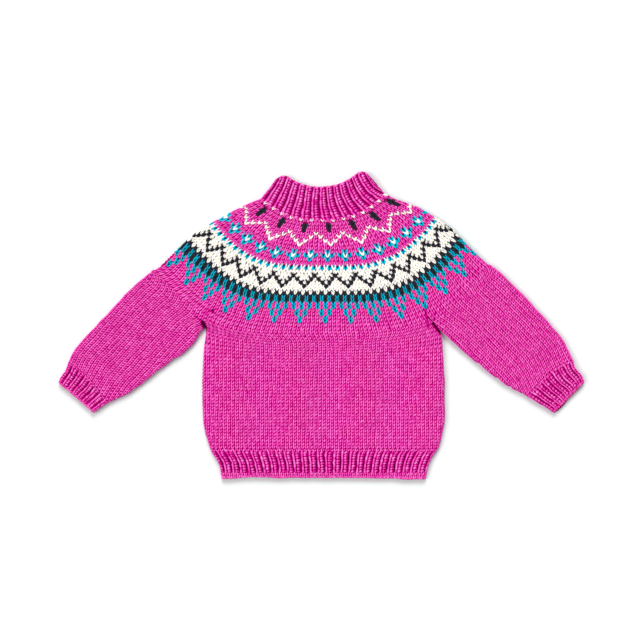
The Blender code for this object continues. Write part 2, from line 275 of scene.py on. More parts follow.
# Each yarn's painted shade, its own colour, its painted highlight (which also tints the sheen), its
# sheen and its gloss.
YARN_TABLE = table("key name deep body light sheen gloss", (
    ("p", "pink", (0.42, 0, 0.14), (0.745, 0.006, 0.345), (1, 0.24, 0.725), 0.04),
    ("c", "cream", (0.88, 0.82, 0.725), (0.992, 0.964, 0.903), (1, 0.99, 0.965), 0, 0.1),
    ("t", "teal", (0, 0.022, 0.085), (0, 0.39, 0.575), (0, 0.76, 0.93), 0),
    ("k", "charcoal", (0.005, 0.006, 0.009), (0.017, 0.018, 0.026), (0.036, 0.036, 0.048), 0),
    ("b", "bright_pink", (0.56, 0, 0.11), (0.9, 0.01, 0.3), (1, 0.18, 0.6), 0.04),
))
YARNS = "".join(yarn.key for yarn in YARN_TABLE)


def crease_at(x, y, name):
    """Depth or painted shade of the creases at a place of the plan."""
    total = np.zeros_like(x)
    for crease in CREASES:
        along = np.array([crease.x2 - crease.x1, crease.y2 - crease.y1])
        share = ((x - crease.x1) * along[0] + (y - crease.y1) * along[1]) / (along @ along)
        share = np.clip(share, 0, 1)
        away = np.hypot(x - crease.x1 - share * along[0], y - crease.y1 - share * along[1])
        total = np.maximum(total, getattr(crease, name) * np.exp(-(away / crease.width) ** 2))
    return total


def mix(a, b, share):
    return a + (b - a) * share


def smooth(share):
    """A share that leaves 0 and reaches 1 gently."""
    share = np.clip(share, 0, 1)
    return share * share * (3 - 2 * share)


def spline(keys, values, at):
    """Smooth plan lines between keys; beyond the ends they go on straight."""
    keys = np.asarray(keys, float)
    slopes = np.gradient(values, keys, axis=0)
    index = np.clip(np.searchsorted(keys, at) - 1, 0, len(keys) - 2)
    span = keys[index + 1] - keys[index]
    t = np.clip((at - keys[index]) / span, 0, 1)[:, None, None]
    span = span[:, None, None]
    result = (
        (2 * t**3 - 3 * t**2 + 1) * values[index]
        + (t**3 - 2 * t**2 + t) * span * slopes[index]
        + (3 * t**2 - 2 * t**3) * values[index + 1]
        + (t**3 - t**2) * span * slopes[index + 1]
    )
    under = np.minimum(at - keys[0], 0)[:, None, None]
    over = np.maximum(at - keys[-1], 0)[:, None, None]
    return result + under * slopes[0] + over * slopes[-1]


def marks_along(line):
    """Distance of each point of a line from its first."""
    return np.concatenate([[0], np.cumsum(np.hypot(*np.diff(line, axis=0).T))])


def cut_line(line, start, stop, count=CUT_POINTS):
    """Evenly spaced points of a line between two distances from its left end."""
    at = np.linspace(start, stop, count)
    return np.stack([np.interp(at, marks_along(line), line[:, k]) for k in range(2)], axis=1)


def evenly(line, count):
    """The same line with its points evenly spaced."""
    return cut_line(line, 0, marks_along(line)[-1], count)


WAVES = 7
SHORTEST_WAVE, LONGEST_WAVE = 0.6, 1.7
HIGHEST_SUM = 3.0


def wander(x, y, scale, seed):
    """Smooth unevenness between about -1 and 1 in the plan, from a few seeded waves."""
    draw = np.random.default_rng(seed)
    total = np.zeros_like(x)
    for _ in range(WAVES):
        angle = draw.uniform(0, math.tau)
        length = scale * draw.uniform(SHORTEST_WAVE, LONGEST_WAVE)
        total += np.sin((x * math.cos(angle) + y * math.sin(angle)) * math.tau / length
                        + draw.uniform(0, math.tau))
    return total / HIGHEST_SUM


class Tube:
    """A flattened tube of knitting that runs from its first plan line to its last.

    lines are plan lines from fold to fold at distances keys, and down is a distance from the
    first. columns(face, down) gives the column numbers at the two folds, and
    relief(column, down) the height of ribs. rise, turn and widen move rows and columns.
    """

    ACROSS = 193  # points of a plan line
    STEP = 1.5  # from one line of the grid to the next
    BEYOND = 6.0  # how far the grid goes on past both ends
    relief = staticmethod(lambda column, down: np.zeros_like(column))
    rise = turn = staticmethod(lambda share, down: 0.0)
    widen = staticmethod(lambda down: 0.0)
    has_ribs = 0.0
    mottle = PLAIN_MOTTLE
    ends = (-math.inf, math.inf)  # stitches don't reach past a free edge
    peek = 0.0  # how far the back shows at the end

    def __init__(self, lines, keys, columns=None, **own):
        """own is what differs from plain knitting, such as relief or has_ribs."""
        even_lines = np.stack([evenly(line, self.ACROSS) for line in lines])
        self.length = keys[-1] - keys[0]
        self.start = keys[0] - self.BEYOND
        count = int((self.length + 2 * self.BEYOND) / self.STEP) + 2
        self.marks = self.start + np.arange(count) * self.STEP
        self.grid = spline(keys, even_lines, self.marks)
        self.widths = np.hypot(*np.moveaxis(np.diff(self.grid, axis=1), -1, 0)).sum(axis=1)
        self.columns = columns
        vars(self).update(own)

    def shade(self, column, down):
        """Painted shade of the shell: darker in the ribs' valleys and beside their beads, where
        shade falls.
        """
        if not self.has_ribs:
            return np.full_like(column, GROUND_SHADE)
        swing = RIB_SHADE_SWING * wander(column * RIB_WIDE, down, RIB_SHADE_WAVE, seed=3)
        depth = np.clip(self.depth(down) * (RIB_SHADE_MEAN + swing), 0, 1)
        place = np.mod(column - RIB_POINTS[0], 1.0) + RIB_POINTS[0]
        return mix(GROUND_SHADE, np.interp(place, RIB_POINTS, RIB_SHADES), depth)

    def width(self, down):
        return np.interp(down, self.marks, self.widths)

    def girth(self, down):
        """Length of one panel round both folds' quarters."""
        return self.width(down) + 2 * QUARTER

    def plan(self, across, down):
        """Place in the plan, from the share of the width that it lies across."""
        row = np.clip((down - self.start) / self.STEP, 0, len(self.grid) - 1.001)
        column = np.clip(across, 0, 1) * (self.ACROSS - 1)
        i = row.astype(int)
        j = np.minimum(column.astype(int), self.ACROSS - 2)
        u = (row - i)[..., None]
        v = (column - j)[..., None]
        here, below = (mix(self.grid[k, j], self.grid[k, j + 1], v) for k in (i, i + 1))
        return mix(here, below, u)

    def fold(self, share, down):
        """How a place of a panel lies to its nearer fold.

        Gives the angle round the fold, the distance from the fold's end along the flat, how
        far in from the edge it is, how thick the tube is, and whether the fold is the first.
        """
        girth = self.girth(down)
        arc = share * girth
        edge = np.minimum(arc, girth - arc)
        angle = np.minimum(edge / FOLD_RADIUS, math.pi / 2)
        flat = np.maximum(edge - math.pi / 2 * FOLD_RADIUS, 0)
        inset = FOLD_RADIUS * (1 - np.cos(angle)) + flat
        thick = CREST + FOLD_LIFT * np.maximum(0, 1 - flat / FOLD_FADE) ** 2
        return angle, flat, inset, thick, arc < girth / 2

    def point(self, face, column, down, height):
        """Point on the panel; height is 0 on the shell and 1 at a stitch's crest."""
        first, last = self.columns(face, down)
        share = (column - first) / (last - first)
        share = share + self.widen(down) * np.sin(math.tau * (share - 0.5)) / math.tau
        share = share + face * self.turn(share, down) / self.width(down)
        down = down - self.rise(share, down)
        near_end = np.clip(1 - (self.length - down) / PEEK_FADE, 0, 1) ** 2
        peek = self.peek * near_end * np.clip(np.sin(math.tau * share), 0, 1)
        down = down + peek * np.where(face < 0, 1.0, PEEK_FRONT)

        side = np.where((share < 0) | (share > 1), -face, face)
        share = np.where(share < 0, -share, np.where(share > 1, 2 - share, share))
        angle, flat, inset, thick, near_first = self.fold(share, down)
        inset = inset + np.cos(angle) * (1 - height) * PILE
        width = self.width(down)
        place = self.plan(np.where(near_first, inset, width - inset) / width, down)
        x, y = place[..., 0], place[..., 1]
        x, y = (x + UNEVEN * wander(x, y, UNEVEN_WAVE, seed=11),
                y + UNEVEN * wander(x, y, UNEVEN_WAVE, seed=12))

        rib = self.relief(column, down)
        uneven = SWELL * wander(x, y, SWELL_WAVE, seed=5) * np.clip(flat / SWELL_FADE, 0, 1)
        uneven = uneven - crease_at(x, y, "depth")
        thick = thick + np.where(side > 0, uneven, 0)
        lift = np.sin(angle)
        sunk = lift * (1 - height) * PILE
        top = thick / 2 * (1 + lift) + rib * lift - sunk
        under = thick / 2 * (1 - lift) + (RIB_RISE - rib) * self.has_ribs * lift + sunk
        return np.stack([x, y, np.where(side > 0, top, np.maximum(under, 0))], axis=-1)

    def lining(self, face, share, down):
        """Point on the inner skin, beside the slit."""
        width = self.width(down)
        angle, _, inset, thick, near_first = self.fold(share, down)
        across = np.where(near_first, inset, width - inset)
        across = (WALL + across * (width - 2 * WALL) / width) / width
        z = thick / 2 + face * SLIT / 2 * np.sin(angle)
        return np.concatenate([self.plan(across, down), z[:, None]], axis=1)


# Plan lines.

def yoke_line(down):
    """Plan line of a yoke row from the left fold to the right."""
    left, right, corner, crispness = (
        column_at(YOKE_ROWS, name, down) for name in YOKE_ROWS[0]._fields[1:])
    halves = []
    for side, reach, turn in ((-1, left, TURN_LEFT), (1, right, TURN_RIGHT)):
        pull = corner ** crispness
        rise = ((np.arange(ARC_STEPS) + 0.5) / ARC_STEPS) ** crispness
        angle = turn * rise / (rise + pull) * (1 + pull)
        step = reach / ARC_STEPS
        x, y = (np.concatenate([[0], np.cumsum(way(angle))]) * step for way in (np.cos, np.sin))
        halves.append(np.stack([YOKE_MIDDLE_X + side * x, NECK_SEAM_Y - down + y], axis=1))
    return np.concatenate([halves[0][::-1], halves[1][1:]])


def shaped(template, start, end, curve, sag=0.0):
    """Points from start to end that keep a share of a template line's own curve."""
    share = np.linspace(0, 1, len(template))[:, None]
    off = template - mix(template[0], template[-1], share)
    line = mix(np.array(start), np.array(end), share) + curve * off
    line[:, 1] += (4 * share * (1 - share) * sag)[:, 0]
    return line


def mean_distances(lines):
    """Mean distance of each line from the first."""
    even_lines = [evenly(line, EVEN_POINTS) for line in lines]
    keys = [0.0]
    for here, there in zip(even_lines, even_lines[1:]):
        keys.append(keys[-1] + float(np.hypot(*(there - here).T).mean()))
    return keys


LEVEL = np.stack([np.linspace(0, 1, EVEN_POINTS), np.zeros(EVEN_POINTS)], axis=1)
join = yoke_line(YOKE_DEPTH)
join_length = float(marks_along(join)[-1])
join_reach = column_at(YOKE_ROWS, "reach_left", YOKE_DEPTH)
left_cut = join_reach - UNDERARM_LEFT
right_cut = join_reach + UNDERARM_RIGHT
body_top = cut_line(join, left_cut, right_cut)
# Where the sleeves take up the join.
sleeve_ends = {"left": (0, left_cut), "right": (right_cut, join_length)}


def torso_lines(template, rows):
    lines = []
    for row in rows:
        sag = (row.middle - row.side) * (1 - row.curve)
        ends = (row.left, row.side), (row.right, row.side)
        lines.append(shaped(template, *ends, row.curve, sag))
    return lines


def arm_lines(template, rows):
    """Lines of a sleeve or cuff, which also run from left to right."""
    lines = []
    for row in rows:
        ends = [(row.outer_x, row.outer_y), (row.inner_x, row.inner_y)]
        if row.outer_x > 0:
            ends.reverse()
        lines.append(shaped(template, *ends, row.curve, row.rise))
    return lines


def hem_lines():
    lines = torso_lines(LEVEL, HEM_ROWS)
    edge = lines[-1]
    for x, rise, width in HEM_WAVES:
        edge[:, 1] += rise * np.exp(-((edge[:, 0] - x) / width) ** 2)
    return lines


def collar_lines():
    """From the top edge, which dips between two rolled peaks, down to the yoke."""
    share = np.linspace(0, 1, COLLAR_POINTS)
    (ax, ay), (bx, by) = COLLAR_TOP_LEFT, COLLAR_TOP_RIGHT
    edge = np.minimum(share, 1 - share) * (bx - ax)
    roll = np.where(share < 0.5, *COLLAR_ROLLS)
    peak = mix(*COLLAR_PEAKS, share) * (1 - np.maximum(0, 1 - edge / roll) ** 2)
    dip = COLLAR_DIP * (4 * share * (1 - share)) ** COLLAR_DIP_POWER
    top = np.stack([mix(ax, bx, share), mix(ay, by, share) + peak - dip], axis=1)
    base = evenly(yoke_line(0.0), COLLAR_POINTS)
    return [mix(top, base, down) for down in np.linspace(0, 1, COLLAR_LINES)]


# Materials.

def new_material(name):
    """A material, its shader, and what adds a node or a link to its tree."""
    material = bpy.data.materials.new(name)
    material.use_nodes = True
    tree = material.node_tree

    def add(kind, values=()):
        node = tree.nodes.new(f"ShaderNode{kind}")
        set_inputs(node, dict(values))
        return node
    return material, tree.nodes["Principled BSDF"], add, tree.links.new


def set_inputs(node, values):
    for name, value in values.items():
        node.inputs[name].default_value = value


def yarn_material(yarn):
    """Wool with painted light: its colour runs from painted shade between the stitches to a painted
    highlight on their crests, with a fibrous surface.
    """
    material, shader, add, link = new_material(f"{yarn.name}_wool")
    set_inputs(shader, {
        "Roughness": 0.95, "Sheen Weight": yarn.sheen, "Sheen Roughness": 0.5,
        "Sheen Tint": (*yarn.light, 1), "Specular IOR Level": yarn.gloss,
    })
    place = add("TexCoord")
    fibre = add("TexNoise", {"Scale": 900, "Detail": 6, "Roughness": 0.7})
    link(place.outputs["Object"], fibre.inputs["Vector"])
    shade = add("Attribute")
    shade.attribute_name = "shade"
    uneven = add("Math", {1: 0.3, 2: -0.15})
    uneven.operation = "MULTIPLY_ADD"
    link(fibre.outputs["Fac"], uneven.inputs[0])
    height = add("Math")
    height.use_clamp = True
    link(uneven.outputs[0], height.inputs[0])
    link(shade.outputs["Fac"], height.inputs[1])
    # The ramp paints light: near-black painted shade in the valleys, painted shade between the
    # stitches, the yarn's own colour, then a painted highlight on the crests.
    ramp = add("ValToRGB")
    stops = ramp.color_ramp.elements
    stops[0].color = (*(0.12 * part for part in yarn.deep), 1)
    stops[1].color = (*yarn.light, 1)
    for position, colour in ((0.14, yarn.deep), (0.62, yarn.body)):
        stops.new(position).color = (*colour, 1)
    link(height.outputs[0], ramp.inputs["Fac"])
    link(ramp.outputs["Color"], shader.inputs["Base Color"])
    bump = add("Bump", {"Strength": 0.35, "Distance": 0.0004})
    link(fibre.outputs["Fac"], bump.inputs["Height"])
    link(bump.outputs["Normal"], shader.inputs["Normal"])
    return material


def paper_material():
    """The floor's, nearly white."""
    material, shader, add, link = new_material("paper")
    set_inputs(shader, {"Roughness": 0.9})
    place = add("TexCoord")
    grain = add("TexNoise", {"Scale": 60, "Detail": 4})
    tone = add("ValToRGB")
    tone.color_ramp.elements[0].color = (0.818, 0.852, 0.846, 1)
    tone.color_ramp.elements[1].color = (0.832, 0.866, 0.86, 1)
    link(place.outputs["Object"], grain.inputs["Vector"])
    link(grain.outputs["Fac"], tone.inputs["Fac"])
    link(tone.outputs["Color"], shader.inputs["Base Color"])
    return material


wools = [yarn_material(yarn) for yarn in YARN_TABLE]


# Meshes.

UV_CORNER = (320, 190)  # the whole sweater's plan fills the UV square
UV_SIZE = (640, 400)


def link_object(name, data):
    thing = bpy.data.objects.new(name, data)
    bpy.context.scene.collection.objects.link(thing)
    return thing


def make_mesh(name, points, quads, tris, yarns, shade):
    """Mesh from millimetre points; yarns are indices into YARNS, the quads' first."""
    mesh = bpy.data.meshes.new(name)
    counts = np.concatenate([np.full(len(quads), 4), np.full(len(tris), 3)])
    corners = np.concatenate([quads.ravel(), tris.ravel()]).astype(np.int32)
    mesh.vertices.add(len(points))
    mesh.vertices.foreach_set("co", (points * MM).astype(np.float32).ravel())
    mesh.loops.add(len(corners))
    mesh.loops.foreach_set("vertex_index", corners)
    mesh.polygons.add(len(counts))
    starts = np.concatenate([[0], np.cumsum(counts)[:-1]]).astype(np.int32)
    mesh.polygons.foreach_set("loop_start", starts)
    mesh.polygons.foreach_set("loop_total", counts.astype(np.int32))
    for wool in wools:
        mesh.materials.append(wool)
    mesh.polygons.foreach_set("material_index", yarns.astype(np.int32))
    mesh.update(calc_edges=True)
    mesh.validate()
    # Each point's painted light, which the yarns' colour ramp turns into painted shade or a painted
    # highlight.
    attribute = mesh.attributes.new("shade", "FLOAT", "POINT")
    attribute.data.foreach_set("value", shade.astype(np.float32))
    chart = mesh.uv_layers.new(name="OFBake")
    plan = (points[corners, :2] + UV_CORNER) / UV_SIZE
    chart.data.foreach_set("uv", plan.astype(np.float32).ravel())
    mesh.shade_smooth()
    return link_object(name, mesh)


def leg(*rows):
    """A leg of a stitch: sections along it with their centre, half width and height, which also
    sets their painted light.
    """
    return table("t side width height", rows)


LEFT_LEG = leg(
    (-0.26, -0.13, 0, 0.3), (0, -0.17, 0.19, 0.84), (0.42, -0.22, 0.225, 1),
    (0.86, -0.27, 0.225, 0.96), (1.16, -0.3, 0.18, 0.7), (1.4, -0.33, 0, 0.2),
)
RIGHT_LEG = leg(
    (-0.07, 0.08, 0, 0.2), (0.12, 0.14, 0.2, 0.78), (0.42, 0.2, 0.26, 1.06),
    (0.74, 0.27, 0.25, 0.96), (0.97, 0.31, 0.18, 0.64), (1.1, 0.34, 0, 0.08),
)
SPREAD_LEFT_LEG = leg(
    (-0.18, 0, 0, 0.2), (0.08, -0.13, 0.18, 0.8), (0.42, -0.25, 0.225, 1),
    (0.85, -0.385, 0.215, 0.95), (1.18, -0.48, 0.18, 0.8), (1.45, -0.55, 0, 0.2),
)
SPREAD_RIGHT_LEG = leg(
    (-0.14, 0.02, 0, 0.15), (0.1, 0.14, 0.18, 0.78), (0.42, 0.26, 0.22, 0.98),
    (0.84, 0.385, 0.21, 0.93), (1.14, 0.47, 0.17, 0.78), (1.4, 0.55, 0, 0.2),
)
DARK_LEFT_LEG = leg(
    (-0.3, 0, 0, 0.3), (0, -0.1, 0.24, 0.86), (0.42, -0.22, 0.32, 1),
    (0.95, -0.38, 0.29, 0.98), (1.42, -0.5, 0.21, 0.92), (1.8, -0.58, 0, 0.5),
)
DARK_RIGHT_LEG = leg(
    (-0.26, 0.02, 0, 0.28), (0.02, 0.11, 0.24, 0.85), (0.42, 0.23, 0.31, 0.99),
    (0.92, 0.38, 0.28, 0.97), (1.36, 0.5, 0.2, 0.9), (1.7, 0.58, 0, 0.5),
)
# A low filler in the middle of the pattern's stitches, whose small height gives it painted shade.
CORE = leg(
    (0.02, 0, 0, 0.02), (0.34, 0, 0.22, 0.09), (1.03, 0, 0.3, 0.09),
    (1.25, 0, 0, 0.02),
)
RIB_LEFT_LEG = leg(
    (-0.3, -0.27, 0, 0.5), (-0.05, -0.275, 0.145, 0.88), (0.4, -0.28, 0.175, 0.96),
    (0.8, -0.285, 0.17, 0.94), (1.15, -0.29, 0.145, 0.86), (1.4, -0.295, 0, 0.5),
)
RIB_RIGHT_LEG = leg(
    (-0.06, 0.05, 0, 0.4), (0.14, 0.08, 0.15, 0.84), (0.44, 0.11, 0.21, 1.05),
    (0.72, 0.14, 0.205, 1), (0.92, 0.16, 0.14, 0.78), (1.05, 0.18, 0, 0.25),
)
PURL_BUMP = leg(
    (0.34, -0.28, 0, 0.3), (0.46, -0.22, 0.21, 0.7), (0.5, -0.16, 0.26, 0.8),
    (0.48, -0.1, 0.19, 0.6), (0.4, -0.06, 0, 0.1),
)
EDGE_BUMP = leg(
    (0.12, -0.22, 0, 0.1), (0.24, -0.14, 0.28, 0.7), (0.3, -0.05, 0.4, 1),
    (0.3, 0.05, 0.4, 1), (0.24, 0.14, 0.28, 0.7), (0.12, 0.22, 0, 0.1),
)
# Angles of the points round a section, on the front and on the back.
ROUND_FRONT = tuple(math.radians(a) for a in (-25, 35, 90, 145, 205))
ROUND_BACK = tuple(math.radians(a) for a in (-10, 90, 190))


def leg_template(sections, angles, lying):
    """Offsets (side, t, height) of a leg's points, with its faces.

    A lying leg runs across its column, so its width is measured along the column.
    """
    points = [(sections[0].side, sections[0].t, sections[0].height)]
    for section in sections[1:-1]:
        for angle in angles:
            out = section.width * math.cos(angle)
            side, t = (0, -out) if lying else (out, 0)
            points.append((section.side + side, section.t + t, section.height * math.sin(angle)))
    points.append((sections[-1].side, sections[-1].t, sections[-1].height))
    rings = len(sections) - 2
    n = len(angles)
    quads, tris = [], []
    for k in range(n):
        after = (k + 1) % n
        tris.append((0, 1 + after, 1 + k))
        for ring in range(rings - 1):
            a = 1 + ring * n
            quads.append((a + k, a + after, a + n + after, a + n + k))
        a = 1 + (rings - 1) * n
        tris.append((a + k, a + after, len(points) - 1))
    return np.array(points), np.array(quads), np.array(tris)


def back_sections(sections):
    """Four sections are enough on the back."""
    return [sections[k] for k in (0, 2, 3, -1)] if len(sections) > 4 else sections


Stitch = namedtuple("Stitch", "column low high yarn width tall aside along spread lean")
# How unlike each other the columns, stitches and legs are, as standard deviations.
COLUMN_ASIDE, COLUMN_TALL = 0.01, 0.03
STITCH_ASIDE, STITCH_ALONG, STITCH_SPREAD, STITCH_LEAN = 0.016, 0.03, 0.035, 0.03
LEG_ASIDE, LEG_ALONG, LEG_TALL = 0.012, 0.4, 0.04
TALLEST_LEG = 1.08
# How a point's height becomes its painted light: painted shade low on a leg, a painted highlight at
# its crest.
CREST_SHADE, SHADE_POWER, LIGHTEST = 0.92, 0.8, 1.06
COLUMNS = 400  # how many columns have their own unevenness


class Stitches:
    """Stitches of one panel, each with its place, its yarn and its own unevenness."""

    def __init__(self, seed, loose=1.0):
        self.rows = []
        self.loose = loose
        self.draw = np.random.default_rng(seed)
        self.column_aside = self.draw.normal(0, COLUMN_ASIDE, COLUMNS)
        self.column_tall = self.draw.normal(1, COLUMN_TALL, COLUMNS)

    def add(self, columns, low, high, yarns=0, width=1.0, tall=1.0):
        """One row of stitches: low and high are the distances of its bottom and its top."""
        columns = np.asarray(columns, float)
        count = len(columns)
        if not count:
            return
        fill = np.ones(count)
        own = np.round(columns / np.mean(width * fill)).astype(int) % COLUMNS
        self.rows.append(np.stack([
            columns, low * fill, high * fill, yarns * fill, width * fill,
            tall * self.column_tall[own],
            self.loose * (self.draw.normal(0, STITCH_ASIDE, count) + self.column_aside[own]),
            self.draw.normal(0, STITCH_ALONG, count), self.draw.normal(1, STITCH_SPREAD, count),
            self.loose * self.draw.normal(0, STITCH_LEAN, count),
        ], axis=1))

    def table(self):
        rows = np.concatenate(self.rows) if self.rows else np.zeros((0, len(Stitch._fields)))
        return Stitch(*rows.T)


def chosen(stitch, yarns):
    """The stitches of some yarns."""
    mask = np.isin(stitch.yarn, [YARNS.index(yarn) for yarn in yarns])
    return Stitch(*(field[mask] for field in stitch))


def leg_points(tube, face, stitch, template, draw):
    """Points of one leg of every stitch, and its painted light: a painted highlight on the crest,
    painted shade down its sides.
    """
    n = len(stitch.column)
    side, t, height = (field[None, :] for field in template.T)
    own = Stitch(*(field[:, None] for field in stitch))
    aside = draw.normal(0, LEG_ASIDE, n)[:, None]
    along = draw.normal(0, LEG_ALONG * tube.mottle, n)[:, None]
    tall = draw.normal(1, LEG_TALL, n)[:, None]
    across = side * own.spread + own.aside + own.lean * (t - 0.5) + aside
    column = own.column + across * own.width
    down = own.low + (own.high - own.low) * (t + own.along + along)
    down = np.clip(down, *tube.ends)
    tall = height * np.minimum(tall, TALLEST_LEG) * own.tall
    points = tube.point(face, column, down, tall)
    shade = CREST_SHADE * np.clip(height, 0, LIGHTEST) ** SHADE_POWER
    shade = shade + draw.normal(0.0, tube.mottle, n)[:, None]
    # The creases darken the legs with painted shade.
    return points, shade - crease_at(points[..., 0], points[..., 1], "dark")


def stitch_mesh(name, tube, face, legs, seed):
    """Mesh of one panel's legs: stitches, the sections of their leg and whether it lies."""
    draw = np.random.default_rng(seed)
    parts, base = [], 0
    for stitch, sections, lying in legs:
        if not len(stitch.column):
            continue
        if face > 0:
            template, quads, tris = leg_template(sections, ROUND_FRONT, lying)
        else:
            template, quads, tris = leg_template(back_sections(sections), ROUND_BACK, lying)
            quads, tris = quads[:, ::-1], tris[:, ::-1]
        points, shade = leg_points(tube, face, stitch, template, draw)
        n, m = points.shape[:2]
        starts = base + np.arange(n)[:, None, None] * m
        parts.append((
            points.reshape(-1, 3), (quads + starts).reshape(-1, 4), (tris + starts).reshape(-1, 3),
            *(np.repeat(stitch.yarn, len(faces)) for faces in (quads, tris)), shade.ravel()))
        base += n * m
    points, quads, tris, quad_yarns, tri_yarns, shade = map(np.concatenate, zip(*parts))
    return make_mesh(name, points, quads, tris, np.concatenate([quad_yarns, tri_yarns]), shade)


def legs_of(stitch, *shapes, lying=False):
    return [(stitch, sections, lying) for sections in shapes]


def plain_legs(stitches):
    return legs_of(stitches.table(), LEFT_LEG, RIGHT_LEG)


def chart_legs(stitches):
    """The pattern's stitches open wider than the pink ground's."""
    stitch = stitches.table()
    return (legs_of(chosen(stitch, "pb"), LEFT_LEG, RIGHT_LEG)
            + legs_of(chosen(stitch, "ct"), SPREAD_LEFT_LEG, SPREAD_RIGHT_LEG, CORE)
            + legs_of(chosen(stitch, "k"), DARK_LEFT_LEG, DARK_RIGHT_LEG, CORE))


def panel_ring(across):
    """Gives a ring's faces, columns and shares, evenly spaced on each panel."""
    def ring(tube, down):
        shares = np.linspace(0, 1, across + 1)
        faces = np.concatenate([np.full(across + 1, FRONT), np.full(across - 1, BACK)])
        shares = np.concatenate([shares, shares[-2:0:-1]])
        at = np.full(len(shares), float(down))
        columns = np.where(faces > 0, mix(*tube.columns(FRONT, at), shares),
                           mix(*tube.columns(BACK, at), shares))
        return faces, columns, shares
    return ring


def rib_ring(around):
    """The same for a ribbed band, with points at the sides of every valley."""
    def ring(tube, down):
        columns = np.concatenate([whole + np.array(RIB_POINTS) for whole in range(around)])
        at = np.full(len(columns), float(down))
        first, last = tube.columns(FRONT, at)
        columns = np.mod(columns - first, around) + first
        faces = np.where(columns <= last, FRONT, BACK)
        back_share = (first + around - columns) / (first + around - last)
        shares = np.where(faces > 0, (columns - first) / (last - first), back_share)
        return faces, np.where(faces > 0, columns, columns - around), shares
    return ring


def shell_mesh(name, tube, marks, ring, yarn_of=None):
    """Closed thin shell: outer skin under the stitches, inner skin beside the slit.

    marks are the distances of its rings and ring(tube, down) gives the points on one.
    """
    outer, inner, shades = [], [], []
    for down in marks:
        faces, columns, shares = ring(tube, down)
        at = np.full(len(faces), float(down))
        skins = [tube.point(face, columns, at, np.zeros(len(faces))) for face in (FRONT, BACK)]
        linings = [tube.lining(face, shares, at) for face in (FRONT, BACK)]
        front = (faces > 0)[:, None]
        outer.append(np.where(front, *skins))
        inner.append(np.where(front, *linings))
        shades.append(tube.shade(columns, at))
    outer, inner = np.stack(outer), np.stack(inner)
    rows, count = outer.shape[:2]
    index = np.arange(rows * count).reshape(rows, count)
    after = np.roll(index, -1, axis=1)
    skin = np.stack([index[:-1], index[1:], after[1:], after[:-1]], axis=-1).reshape(-1, 4)
    shift = rows * count
    lining = skin[:, ::-1] + shift
    top_rim = np.stack([index[0], after[0], after[0] + shift, index[0] + shift], axis=-1)
    end_rim = np.stack([index[-1] + shift, after[-1] + shift, after[-1], index[-1]], axis=-1)
    quads = np.concatenate([skin, lining, top_rim, end_rim])
    points = np.concatenate([outer.reshape(-1, 3), inner.reshape(-1, 3)])
    yarns = np.zeros(len(quads))
    if yarn_of is not None:
        yarns[:len(skin)] = yarn_of(rows - 1, count).ravel()
    # The shell carries painted shade: the ground's between the stitches, the ribs' in their
    # valleys, and the creases'.
    shade = np.full(len(points), GROUND_SHADE)
    shade[:shift] = np.stack(shades).ravel() - crease_at(*points[:shift, :2].T, "dark")
    return make_mesh(name, points, quads, np.zeros((0, 3), int), yarns, shade)


# Pieces.

floor_mesh = bpy.data.meshes.new("floor")
floor_mesh.from_pydata([(-3, -3, 0), (3, -3, 0), (3, 3, 0), (-3, 3, 0)], [], [(0, 1, 2, 3)])
floor_mesh.materials.append(paper_material())
floor = link_object("floor", floor_mesh)
floor.location.z = -0.0002
dressed = []


def dress(node, tube, rows, ring, legs, yarn_of=None):
    """Shell and stitches of one node, with everything that the frame asks of them.

    rows are the distances of the shell's rings, and legs are those of the front and back.
    """
    shell = shell_mesh(f"{node}_cloth", tube, rows, ring, yarn_of)
    parts = [
        stitch_mesh(f"{node}_stitches_{side}", tube, face, legs[face],
                    seed=len(dressed) * 2 + (face > 0))
        for side, face in (("front", FRONT), ("back", BACK))]
    for piece in (shell, *parts):
        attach(piece, "root")
    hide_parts(node)
    dressed.append(node)


def fixed_columns(first, last, around):
    """The same columns at the folds all along a tube."""
    def columns(face, down):
        folds = (first, last - (0 if face > 0 else around))
        return [np.full_like(down, fold, dtype=float) for fold in folds]
    return columns


def places(tube, face, down, start=0.5, step=1.0):
    """Columns start, start + step and so on that lie between the folds."""
    low, high = sorted(tube.columns(face, np.array(down)))
    first, last = math.ceil((low - start) / step), math.floor((high - start) / step)
    return start + step * np.arange(first, last + 1)


def merged_columns(start, stop, columns):
    """Columns that go on from the yoke's stitches between two places of the join."""
    joined = {}
    for face in (FRONT, BACK):
        total = REPEAT_STITCHES * (YOKE_LAST - YOKE_FIRST - (0 if face > 0 else REPEATS))
        at_join = [
            REPEAT_STITCHES * YOKE_FIRST + total * (place + QUARTER) / (join_length + 2 * QUARTER)
            for place in (start - QUARTER, stop + QUARTER)]
        ends = [float(end) for end in columns(face, np.array(MERGE))]
        shift = round(sum(ends) / 2 - sum(at_join) / 2 - 0.5) + 0.5
        joined[face] = [column + shift for column in at_join]

    def both(face, down):
        share = smooth(down / MERGE)
        return tuple(mix(*pair, share) for pair in zip(joined[face], columns(face, down)))
    return both


def dress_plain(node, tube, count, across):
    """A piece of plain knitting: stitches at whole columns, in count rows."""
    pitch = tube.length / count
    legs = {}
    for face in (FRONT, BACK):
        stitches = Stitches(count + face)
        for row in range(count):
            low = (row + 1) * pitch
            stitches.add(places(tube, face, low - pitch / 2), low, low - pitch)
        legs[face] = plain_legs(stitches)
    marks = np.linspace(0, tube.length, count + 1)
    dress(node, tube, marks, panel_ring(across), legs)


